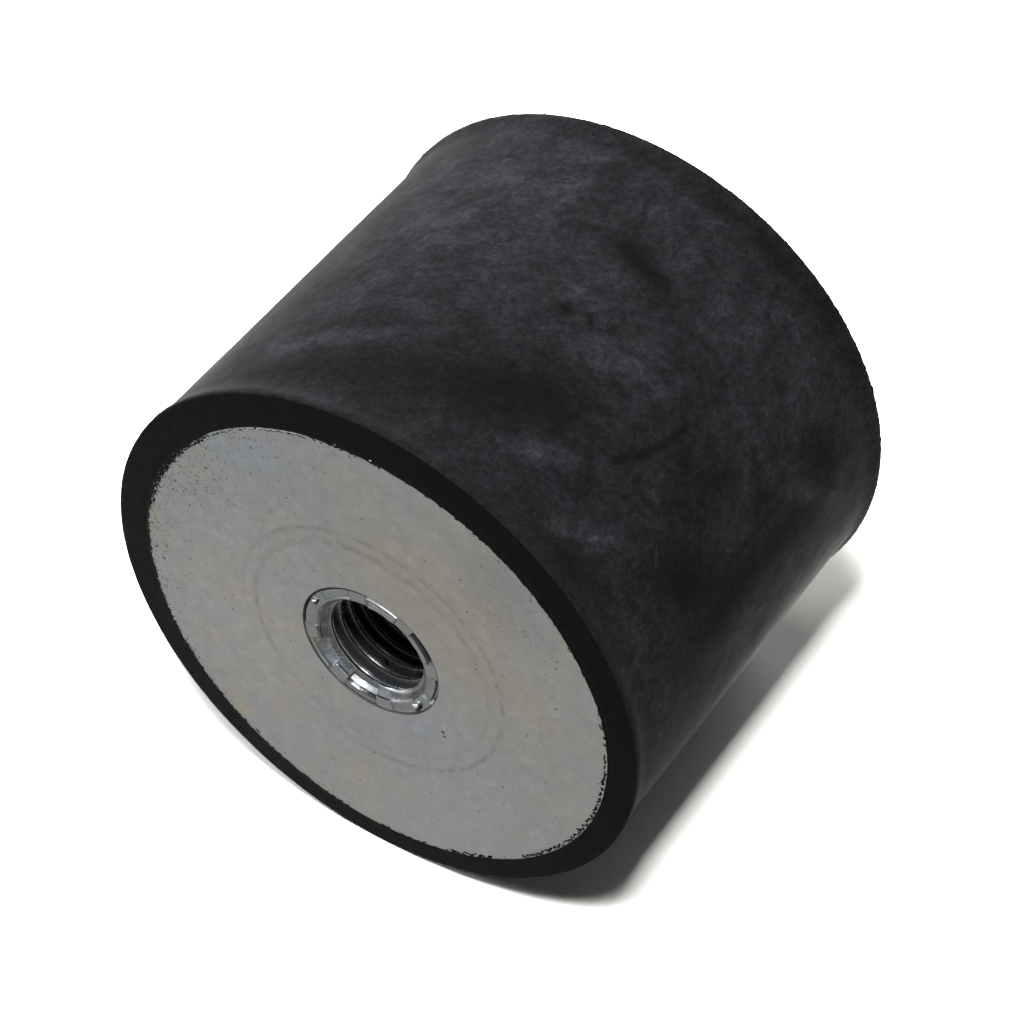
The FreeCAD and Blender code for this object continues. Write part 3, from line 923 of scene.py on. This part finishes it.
# Clouds on the plate's face, by the photograph's angle and radius in millimetres: spread and strength. The
# pale clouds are painted light: the face lighter towards one side and darker towards the other
CLOUDS = {
    "scuff": [(150, 33, 7, 0.85), (172, 32, 6, 0.60), (125, 32, 7, 0.45), (98, 31, 7, 0.25),
              (192, 31, 7, 0.30), (60, 28, 10, 0.14), (140, 24, 9, 0.34), (300, 24, 12, 0.02),
              (42, 25.3, 1.5, 0.75), (39, 26.8, 1.5, 0.75), (34, 27.8, 1.4, 0.55)],
    "straw": [(45, 17, 11, 0.85), (80, 19, 9, 0.60), (5, 22, 7, 0.40), (-170, 22, 8, 0.25)],
    "violet": [(-47, 14, 6, 0.85), (-45, 22, 8, 0.35), (-165, 28, 8, 0.25), (-66, 25, 10, 0.60),
               (45, 30, 5, 0.25)],
    "blue": [(118, 29, 9, 0.80), (80, 31, 5, 0.70), (-60, 12.5, 3.5, 0.90), (150, 12, 2.0, 0.50)],
    "pale": [(-160, 24, 16, 0.13), (150, 22, 12, 0.05), (50, 29, 6, -0.12)],
}
# Dark marks on the plate: the photograph's angle, radius and half width
MARKS = [(-39.0, 13.3, 0.34), (-40.8, 13.9, 0.26)]
# The press ring's brown lines: radius, half width, and where each shows best, by the photograph's angle, with
# its spread and strength
RING_LINES = [(16.9, 0.42, 85, 55, 0.95), (16.9, 0.42, 190, 50, 0.65), (18.9, 0.40, 100, 60, 0.60),
              (18.9, 0.30, 20, 45, 0.65), (18.9, 0.30, 330, 45, 0.75), (18.9, 0.40, 270, 40, 0.45),
              (16.9, 0.40, 290, 60, 0.20)]


def plate_section(settings):
    """The plate's section as radius and depth below its face: hole, face, rolled edge, side and back."""
    hole, rim, thick, roll = settings.hole_radius, settings.radius, settings.thickness, settings.edge_round
    lead = 0.04 * MM
    rows = [(hole, thick), (hole, thick * 0.5), (hole, 2 * lead), (hole + 0.03 * MM, lead),
            (hole + lead, 0.02 * MM), (hole + 2 * lead, 0)]
    inner = settings.ring_radius - settings.ring_width
    outer = settings.ring_radius + settings.ring_width
    for start, stop, step in ((hole + 4 * lead, inner, FACE_STEP), (inner, outer, RING_STEP),
                              (outer, rim - roll, FACE_STEP)):
        rows += [(radius, 0) for radius in spaced(start, stop, step)]
    turns = [math.radians(90 * step / 5) for step in range(6)]
    rows += [(rim - roll + roll * math.sin(turn), roll * (1 - math.cos(turn))) for turn in turns]
    rows += [(rim, thick * 0.5), (rim, thick)]
    return rows + [(radius, thick) for radius in spaced(rim, hole, BACK_STEP)[1:]]


def spaced(start, stop, step):
    """Radii from start up to but not including stop, about a step apart."""
    count = max(1, int(round(abs(stop - start) / step)))
    return [start + (stop - start) * number / count for number in range(count)]


def ring_depth(settings, radius):
    """The press ring's shallow channel with soft shoulders."""
    off = np.abs(radius - settings.ring_radius)
    half = settings.ring_width / 2
    return settings.ring_depth * (1 - smooth_step(half - 0.3 * MM, half + 0.3 * MM, off))


def plate_masks(points):
    """Where the edge is smeared with rubber, the painted shade at the hole, the clouds on the face with the
    painted light among them, and the press ring's lines.
    """
    across, along = points[..., 0] / MM, points[..., 1] / MM
    radius, angles = np.hypot(across, along), np.arctan2(along, across) - math.radians(PHOTO_TURN)
    inwards = np.clip(PLATE_BOX[1].x / MM - radius - 0.3, 0, 99)
    smear, ring = 0 * radius, 0 * radius
    for middle, spread, strength, reach in SMEARS:
        smear += strength * angle_bell(angles, middle, spread) * np.exp(-inwards / reach)
    for line_radius, half_width, middle, spread, strength in RING_LINES:
        ring += strength * bell(radius - line_radius, half_width) * angle_bell(angles, middle, spread)
    # Inside the hole's radius the mask is full: painted shade in the gap round the collar
    masks = {"smear": np.where(radius < HOLE_SHADE, 2.0, smear), "ring": np.clip(ring, 0, 1)}
    for name, spots in CLOUDS.items():
        masks[name] = 0 * radius
        for middle, distance, spread, strength in spots:
            x, y = around(middle, distance)
            masks[name] += strength * bell(np.hypot(across - x, along - y), spread)
    masks["scuff"] = np.clip(masks["scuff"], 0, 1)
    return masks


def build_plate(end, settings, material):
    """One end plate, drawn below its own face and then set at its end."""
    angles = circle(PLATE_COLUMNS)
    radii, depths = (full_rows(part, angles) for part in zip(*plate_section(settings)))
    on_face = depths < settings.edge_round * 0.5
    depths = depths + on_face * ring_depth(settings, radii)
    points = place_rows(radii, -depths, angles)
    waves = lumps(points, 14 * MM, SEEDS[end]) * 0.02 + lumps(points, 3 * MM, SEEDS[end] + 1) * 0.004
    points[..., 2] += on_face * waves * MM
    points = points.reshape(-1, 3)
    faces = wrap_faces(len(radii), PLATE_COLUMNS)
    last = len(points) - PLATE_COLUMNS
    for column in range(PLATE_COLUMNS):
        beside = (column + 1) % PLATE_COLUMNS
        faces.append((last + column, last + beside, beside, column))
    make_piece(f"{end}_end_plate", set_at_end(points, end), faces, plate_masks(points), 35,
               [f"{end}_plate"], material)


def set_at_end(points, end):
    """Moves points drawn below their own face to the top, or turns them over for the bottom."""
    if end == "top":
        return points + (0, 0, MOUNT_LENGTH)
    return points * (1, -1, -1)


# Inserts

INSERT_COLUMNS = 400
COLLAR_ROWS = 26
STAKE_COUNT = 8
STAKE_PITCH = FULL_CIRCLE / STAKE_COUNT
# How many strokes further round each end's sections start
STAKE_SHIFT = {"top": 0, "bottom": 3}
THREAD_RUN_OUT = 0.8 * MM
# Dirt and painted shade on the thread's crests and in its grooves, each as its start and what is added deeper
# down, and then on the cone at its mouth, on the bore's bare end and on the hidden faces. The darkening
# deeper down, in the grooves and at the bore's end is painted shade
CREST_GRIME_AND_SHADE = (0.10, 0.45)
GROOVE_GRIME_AND_SHADE = (0.60, 0.35)
CONE_GRIME_AND_SHADE, BORE_SHADE, HIDDEN_GRIME = 0.45, 0.97, 0.1
# How far down, in millimetres, the strokes' dull metal and the collar's own dirt and painted shade go
DULL_DEPTH, COLLAR_DEPTH = 1.3, 1.6
# The steep outer wall of one stroke is painted dark as painted shade: the stroke's number and the wall's
# radii
DARK_WALL = (1, 8.54, 8.84)

# The section of each punch stroke across the collar, as radius and depth below the collar. The first stroke
# lies at the stake turn, and the others follow counter-clockwise.
STROKES = [
    [(7.90, 1.10), (8.50, 0.30), (8.62, 0.06), (9.20, 0.03), (9.32, 0.14), (9.42, 0.03), (9.75, 0.03)],
    [(8.08, 1.15), (8.46, 0.42), (8.56, 0.66), (8.66, 0.62), (8.78, 0.12), (9.75, 0.12)],
    [(7.85, 0.40), (8.25, 0.06), (9.15, 0.02), (9.75, 0.06)],
    [(7.95, 0.02), (8.12, 0.26), (8.35, 0.32), (8.60, 0.24), (9.22, 0.10), (9.36, 0.50), (9.75, 0.60)],
    [(7.95, 0.00), (8.68, 0.00), (8.76, 0.95), (9.60, 1.05), (9.75, 0.95)],
    [(7.50, 0.25), (8.75, 0.30), (8.95, 0.05), (9.12, 0.02), (9.28, 0.30), (9.75, 0.35)],
    [(7.95, 0.10), (8.12, 0.12), (8.22, 0.24), (8.36, 0.02), (9.45, 0.02), (9.55, 0.30), (9.75, 0.35)],
    [(8.05, 0.25), (8.32, 0.15), (8.50, 0.02), (9.50, 0.02), (9.60, 0.25), (9.75, 0.30)],
]
# Height of the ribs that the punch left on each stroke, in the same order
STROKE_RIBS = [0.010, 0.025, 0.010, 0.010, 0.010, 0.055, 0.015, 0.015]
# Dirt and painted shade on each stroke, in the same order
STROKE_GRIME_AND_SHADE = [0.50, 0.42, 0.18, 0.12, 0.00, 0.40, 0.08, 0.10]
# Small pits in the collar: the photograph's angle, radius, depth and size
PITS = [(-161, 8.55, 0.30, 0.26), (109, 8.55, 0.16, 0.16), (3, 9.0, 0.18, 0.18)]
# Curled burrs that stand on the collar: the photograph's angle, radius and half width
BURRS = [(151, 9.00, 0.42), (-42, 8.90, 0.62)]
BURR_SIDES = 16
# Where a burr has most painted shade at its foot, as a frame angle
BURR_SHADE = math.radians(155)
# Where the collar's outline is darkest with painted shade, by the photograph's angle, and its spread
COLLAR_LINE = (127, 38)
# The thread's form along one pitch, as the share of the pitch and of the thread's depth; burred crests
THREAD_FORM = [
    (0.000, -0.035), (0.035, -0.010), (0.090, 0.025), (0.170, 0.025), (0.220, -0.010), (0.250, -0.030),
    (0.290, 0.110), (0.400, 0.470), (0.520, 0.880), (0.580, 0.990), (0.670, 0.990), (0.730, 0.880),
    (0.850, 0.470), (0.960, 0.110),
]


def find_strokes(angles, settings, shift):
    """Which stroke each angle lies in, how fully, from 0 on the lands to 1 inside, and how near its edge."""
    number = np.round((angles - settings.stake_turn) / STAKE_PITCH)
    off = np.abs(angles - settings.stake_turn - number * STAKE_PITCH)
    half, soft = settings.stake_angle / 2, math.radians(0.9)
    share = 1 - smooth_step(half - soft, half + soft, off)
    return (number.astype(int) + shift) % STAKE_COUNT, share, bell(off - half, math.radians(0.8))


def collar_top(radii, angles, settings, shift):
    """Depth of the collar's face below the plate's face, for radii in rows and angles in columns."""
    number, share, _ = find_strokes(angles, settings, shift)
    depth = np.full(radii.shape, settings.collar_setback / MM)
    for column in range(INSERT_COLUMNS):
        depth[:, column] += share[column] * np.interp(radii[:, column] / MM, *zip(*STROKES[number[column]]))
    points = place_rows(radii, 0, angles)
    depth += lumps(points, 1.1 * MM, shift + 20, 2) * 0.030 + lumps(points, 0.3 * MM, shift + 21, 2) * 0.006
    ribs = share * np.array(STROKE_RIBS)[number]
    depth += ribs * np.sin(radii / MM * 20) * (1 - smooth_step(8.4, 8.8, radii / MM))
    for angle, middle, height, size in PITS:
        x, y = around(angle, middle)
        depth += height * bell(np.hypot(points[..., 0] / MM - x, points[..., 1] / MM - y), size)
    return np.clip(depth, -0.12, None) * MM


def burr_bead(angle, middle, half_width, settings):
    """A burr as a rounded bead sunk a little into the collar: its points, faces and painted shade on its dark
    side.
    """
    centre = np.array([*around(angle, middle), half_width * 0.40 - settings.collar_setback / MM]) * MM
    lift = np.radians(np.linspace(-80, 80, BURR_SIDES // 2))[:, None]
    sides = circle(BURR_SIDES)
    radii = np.cos(lift) * half_width * MM * (1 + 0.12 * np.cos(sides * 2 + math.radians(angle + PHOTO_TURN)))
    grid = place_rows(radii, np.sin(lift) * half_width * 0.8 * MM, sides).reshape(-1, 3)
    faces = wrap_faces(len(lift), BURR_SIDES)
    faces += [tuple(range(BURR_SIDES))[::-1], tuple(range(len(grid) - BURR_SIDES, len(grid)))]
    painted_dark = 0.9 * smooth_step(-0.1, 0.5, np.cos(sides - BURR_SHADE))
    return grid + centre, faces, np.tile(painted_dark, len(lift)) * (grid[:, 2] < 0.7 * half_width * MM)


def mouth_radii(angles, settings, shift):
    """Radius of the collar's inner edge: a stroke pushes metal inwards over the bore."""
    number, share, _ = find_strokes(angles, settings, shift)
    inner = np.array([STROKES[stroke][0][0] for stroke in number]) * MM
    return settings.thread_radius + share * (inner - settings.thread_radius)


def thread_rows(settings, angles, mouth, mouth_depth):
    """The thread as rows that climb with the helix: radii and depths."""
    end = settings.bore_depth - THREAD_RUN_OUT
    turns = range(-1, int(math.ceil((end - settings.collar_setback) / settings.pitch)) + 2)
    shares, form = np.array([(turn + share, level) for turn in turns for share, level in THREAD_FORM]).T
    depths = (shares[:, None] + (settings.thread_turn - angles) / FULL_CIRCLE) * settings.pitch
    fade = 1 - smooth_step(end - settings.pitch, end, depths)
    radii = MINOR_RADIUS + (settings.thread_radius - MINOR_RADIUS) * form[:, None] * fade
    cone = settings.thread_radius + settings.collar_setback - depths
    radii = np.where(depths < end, np.maximum(radii, cone), MINOR_RADIUS)
    return np.where(depths <= mouth_depth, mouth, radii), np.clip(depths, mouth_depth, end)


def helix_faces(rows, start):
    """Faces of the helical rows: past the last column a row runs on into the one a turn away."""
    faces = []
    for row in range(rows - 1):
        for column in range(INSERT_COLUMNS):
            beside = (column + 1) % INSERT_COLUMNS
            near = row if beside else row - len(THREAD_FORM)
            if near >= 0:
                corners = ((row, column), (near, beside), (near + 1, beside), (row + 1, column))
                faces.append([start + line * INSERT_COLUMNS + place for line, place in corners])
    return faces


def build_insert(end, settings, plate, material):
    """One threaded insert, drawn below the plate's face and then set at its end."""
    shift = STAKE_SHIFT[end]
    angles = circle(INSERT_COLUMNS)
    mouth = mouth_radii(angles, settings, shift)
    collar_radii = mouth + (settings.collar_radius - mouth) * np.linspace(1, 0, COLLAR_ROWS)[:, None]
    collar_depths = collar_top(collar_radii, angles, settings, shift)
    thread_radii, thread_depths = thread_rows(settings, angles, mouth, collar_depths[-1])
    flange, flange_back = INSERT_BOX[1].x, plate.thickness + settings.flange_thickness
    length = settings.collar_setback + INSERT_BOX[1].z - INSERT_BOX[0].z
    barrel, bevel = settings.barrel_radius, settings.barrel_bevel
    outer = [(barrel - bevel, length), (barrel, length - bevel), (barrel, flange_back), (flange, flange_back),
             (flange, plate.thickness), (settings.collar_radius, plate.thickness),
             (settings.collar_radius, plate.thickness * 0.6)]
    inner = [(MINOR_RADIUS, settings.bore_depth - THREAD_RUN_OUT), (MINOR_RADIUS, settings.bore_depth)]
    (outer_radii, outer_depths), (inner_radii, inner_depths) = (
        [full_rows(part, angles) for part in zip(*rows)] for rows in (outer, inner))
    radii = np.concatenate([outer_radii, collar_radii, thread_radii, inner_radii])
    depths = np.concatenate([outer_depths, collar_depths, thread_depths, inner_depths])
    shell, thread = len(outer) + COLLAR_ROWS, len(thread_radii)
    faces = wrap_faces(shell, INSERT_COLUMNS)
    faces += helix_faces(thread, shell * INSERT_COLUMNS)
    faces += wrap_faces(2, INSERT_COLUMNS, (shell + thread) * INSERT_COLUMNS)
    points = close_ends(place_rows(radii, -depths, angles).reshape(-1, 3), faces, INSERT_COLUMNS,
                        (-length, -settings.bore_depth - settings.bore_point))
    grime, dull = insert_masks(points, shell * INSERT_COLUMNS, thread, settings, shift)
    for burr in BURRS:
        bead, bead_faces, bead_shade = burr_bead(*burr, settings)
        points = add_part(points, faces, bead, bead_faces)
        grime = np.append(grime, bead_shade)
    masks = {"grime": grime, "dull": np.append(dull, np.zeros(len(points) - len(dull)))}
    make_piece(f"{end}_staked_insert", set_at_end(points, end), faces, masks, 30,
               [f"{end}_insert"], material)


def insert_masks(points, first, thread, settings, shift):
    """Oily dirt and painted shade on the strokes, round the collar and between the thread's crests, which
    stay bright, and the dull strokes.
    """
    radius = np.hypot(points[:, 0], points[:, 1]) / MM
    depth = -points[:, 2] / MM
    turns = np.arctan2(points[:, 1], points[:, 0])
    number, share, edge = find_strokes(turns, settings, shift)
    grime = np.array(STROKE_GRIME_AND_SHADE)[number] * share * (radius < 9.2)
    stroke, low, high = DARK_WALL
    middle, spread = COLLAR_LINE
    far = np.cos(turns - math.radians(middle + PHOTO_TURN)) > math.cos(math.radians(spread))
    # Painted shade deep in the pockets, on the dark wall, along the strokes' edges and round the collar's
    # outline
    for dirt_and_shade in (smooth_step(0.55, 0.95, depth) * 0.75 * (radius > 8.66),
                 0.9 * share * ((number == stroke) & (radius > low) & (radius < high)),
                 0.55 * edge * (radius < 9.7) * (radius > 7.9),
                 np.where(far, 0.9 * (radius > 9.56), 0.5 * (radius > 9.67)) * (depth < 0.5)):
        grime = np.maximum(grime, dirt_and_shade)
    grime[depth > COLLAR_DEPTH] = HIDDEN_GRIME
    last = first + thread * INSERT_COLUMNS
    form = np.resize([level for _, level in THREAD_FORM], thread)
    deep = smooth_step(1.5, 8.0, depth[first:last])
    crest = np.repeat(form < 0.1, INSERT_COLUMNS)
    inside = np.where(crest, CREST_GRIME_AND_SHADE[0] + CREST_GRIME_AND_SHADE[1] * deep, GROOVE_GRIME_AND_SHADE[0] + GROOVE_GRIME_AND_SHADE[1] * deep)
    grime[first:last] = np.where(radius[first:last] > 7.98, CONE_GRIME_AND_SHADE, inside)
    grime[last:] = BORE_SHADE
    return grime, share * (depth < DULL_DEPTH)


# Stage

# The camera's own axes, fitted to the photograph
CAMERA_AXES = ((-0.8414, 0.0, -0.5404), (0.3911, -0.6901, -0.6089), (-0.3729, -0.7237, 0.5807))
# Each lamp's place and size
LAMPS = {
    "key": ((-0.165, -1.12, 0.43), 0.22),
    "fill": ((1.08, -0.62, 0.40), 0.7),
    "back": ((0.10, -0.75, -0.95), 1.0),
}


def add_camera(settings, shift):
    data = bpy.data.cameras.new("camera")
    data.lens = settings.lens
    data.sensor_width = 36.0
    data.clip_start = 0.01
    camera = link_object("camera", data)
    turn = Matrix(CAMERA_AXES).transposed().to_4x4()
    camera.matrix_world = Matrix.Translation(Vector(settings.eye) + Vector(shift)) @ turn
    bpy.context.scene.camera = camera


def add_lamp(name, place, size, watts):
    """A soft square lamp that points at the middle of the mount."""
    data = bpy.data.lights.new(name, "AREA")
    data.size = size
    data.energy = watts
    lamp = link_object(name, data)
    aim = Vector((0, 0, MIDDLE)) - Vector(place)
    lamp.rotation_euler = aim.to_track_quat("-Z", "Y").to_euler()
    lamp.location = place


def add_sheet(name, corners, material):
    mesh = bpy.data.meshes.new(name)
    mesh.from_pydata(corners, [], [tuple(range(len(corners)))])
    mesh.materials.append(material)
    sheet = link_object(name, mesh)


def light_world(settings):
    """Even light from all round, which the lens and mirrors see as white."""
    world = bpy.data.worlds.new("studio")
    bpy.context.scene.world = world
    world.use_nodes = True
    camera, glossy, clear = seen_rays(world.node_tree)
    strength = larger(camera, clear) * (1.0 - settings.sky) + settings.sky
    background = world.node_tree.nodes["Background"]
    give(background.inputs["Color"], (1, 1, 1, 1))
    give(background.inputs["Strength"], strength + glossy * (settings.mirror_sky - settings.sky))


# Operators

class BOBBIN_OT_rubber(bpy.types.Operator):
    """Moulds the rubber body with its rims, bloom, creases and flash, and painted light, shade and sheen"""
    bl_idname = "bobbin.rubber"
    bl_label = "Rubber body"

    def execute(self, context):
        scene = context.scene
        material = rubber_material(scene.bobbin_rubber)
        build_rubber(scene.bobbin_rubber, scene.bobbin_plate, scene.bobbin_insert, material)
        return {"FINISHED"}


class BOBBIN_OT_plates(bpy.types.Operator):
    """Makes the two zinc plated end plates"""
    bl_idname = "bobbin.plates"
    bl_label = "End plates"

    def execute(self, context):
        settings = context.scene.bobbin_plate
        material = plate_material(settings)
        for end in ENDS:
            build_plate(end, settings, material)
        return {"FINISHED"}


class BOBBIN_OT_inserts(bpy.types.Operator):
    """Makes the two staked and threaded inserts"""
    bl_idname = "bobbin.inserts"
    bl_label = "Threaded inserts"

    def execute(self, context):
        scene = context.scene
        material = insert_material(scene.bobbin_insert)
        for end in ENDS:
            build_insert(end, scene.bobbin_insert, scene.bobbin_plate, material)
        return {"FINISHED"}


class BOBBIN_OT_stage(bpy.types.Operator):
    """Sets the pale floor, the soft lamps and the camera"""
    bl_idname = "bobbin.stage"
    bl_label = "Stage"

    def execute(self, context):
        settings = context.scene.bobbin_stage
        shift = context.scene.bobbin_rubber.mould_shift
        reach = settings.reach
        back = RUBBER_BOX[1].y + shift[1] + settings.clearance
        floor = [(-reach, back, -reach), (reach, back, -reach), (reach, back, reach), (-reach, back, reach)]
        pale = pale_material("pale_floor", settings.pale, settings.camera_gain, settings.mirror_gain)
        add_sheet("floor", floor, pale)
        light_world(settings)
        for name, (place, size) in LAMPS.items():
            add_lamp(f"{name}_lamp", place, size, getattr(settings, f"{name}_watts"))
        add_camera(settings, shift)
        context.scene.view_settings.view_transform = "Standard"
        return {"FINISHED"}


class BOBBIN_PT_panel(bpy.types.Panel):
    """Lists the mount's pieces and its stage"""
    bl_idname = "BOBBIN_PT_panel"
    bl_label = "Bobbin Mount"
    bl_space_type = "VIEW_3D"
    bl_region_type = "UI"
    bl_category = "Bobbin Mount"

    def draw(self, context):
        for operator in OPERATORS:
            self.layout.operator(operator.bl_idname)
        for name in SETTINGS:
            box = self.layout.box()
            box.label(text=name.replace("_", " "))
            group = getattr(context.scene, name)
            for key in type(group).__annotations__:
                box.prop(group, key)


OPERATORS = (BOBBIN_OT_rubber, BOBBIN_OT_plates, BOBBIN_OT_inserts, BOBBIN_OT_stage)
SETTINGS = {
    "bobbin_rubber": RubberSettings,
    "bobbin_plate": PlateSettings,
    "bobbin_insert": InsertSettings,
    "bobbin_stage": StageSettings,
}


def register():
    for name, group in SETTINGS.items():
        bpy.utils.register_class(group)
        setattr(bpy.types.Scene, name, bpy.props.PointerProperty(type=group))
    for kind in (*OPERATORS, BOBBIN_PT_panel):
        bpy.utils.register_class(kind)


def unregister():
    for kind in (BOBBIN_PT_panel, *reversed(OPERATORS)):
        bpy.utils.unregister_class(kind)
    for name, group in SETTINGS.items():
        delattr(bpy.types.Scene, name)
        bpy.utils.unregister_class(group)


def main():
    register()
    build_shared_groups()
    bpy.ops.bobbin.stage()
    bpy.ops.bobbin.rubber()
    bpy.ops.bobbin.plates()
    bpy.ops.bobbin.inserts()


if __name__ == "__main__":
    main()
